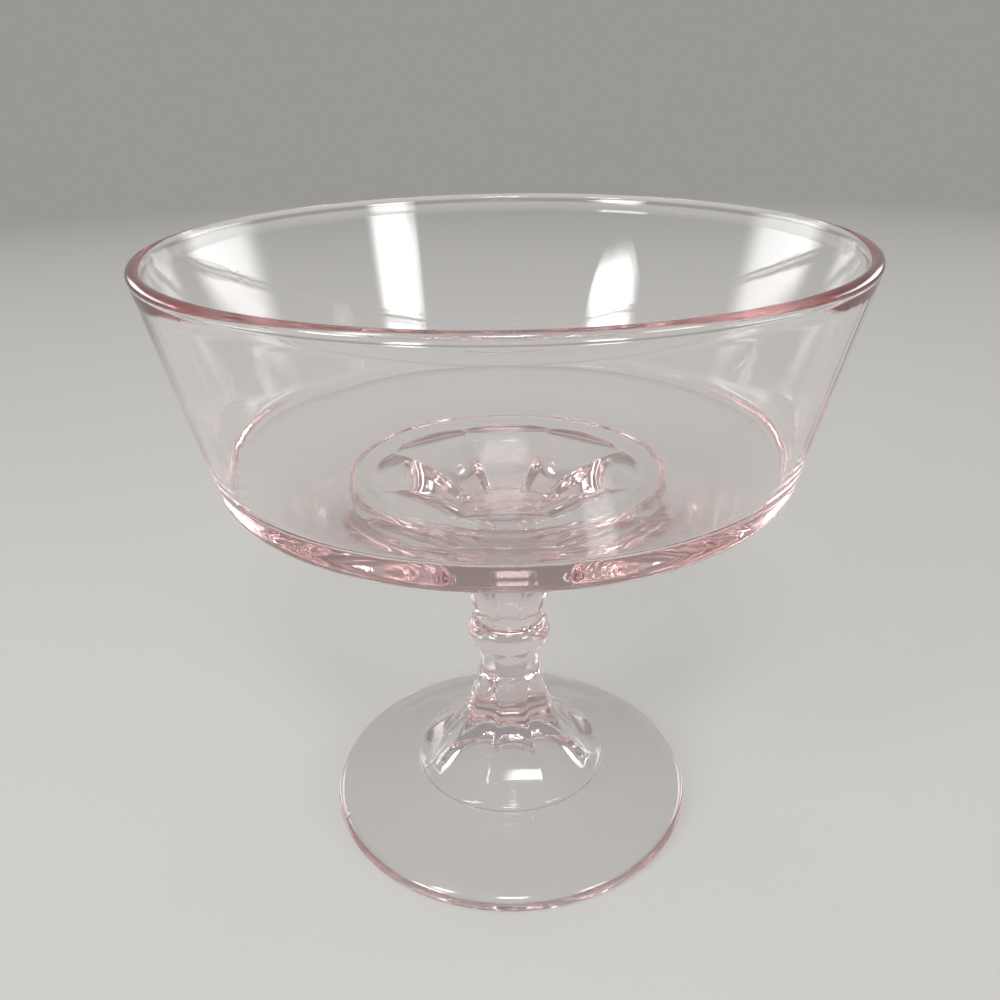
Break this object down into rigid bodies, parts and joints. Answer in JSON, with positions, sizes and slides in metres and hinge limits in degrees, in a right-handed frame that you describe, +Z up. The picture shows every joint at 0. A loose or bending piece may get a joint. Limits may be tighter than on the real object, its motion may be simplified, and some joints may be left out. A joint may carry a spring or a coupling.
{
  "type": "footed compote",
  "caption": "Open footed compote in clear pressed glass: a straight-sided flaring bowl on a fluted neck, round knop, panelled pedestal and broad round foot, for serving fruit or sweets.",
  "frame": {"origin": "centre of the foot, on the surface that it stands on", "axes": "+Z up along the axis that the bowl, knop and standard share; the front faces -Y"},
  "size_m": [0.2032, 0.2032, 0.193],
  "materials": {
    "bowl_glass": "fire-polished clear pressed glass with a faint pink tint",
    "knop_glass": "fire-polished clear pressed glass with a faint pink tint",
    "standard_glass": "fire-polished clear pressed glass with a faint pink tint"
  },
  "bodies": {
    "root": {"bowl": "bowl_glass", "knop": "knop_glass", "standard": "standard_glass"}
  },
  "joints": []
}
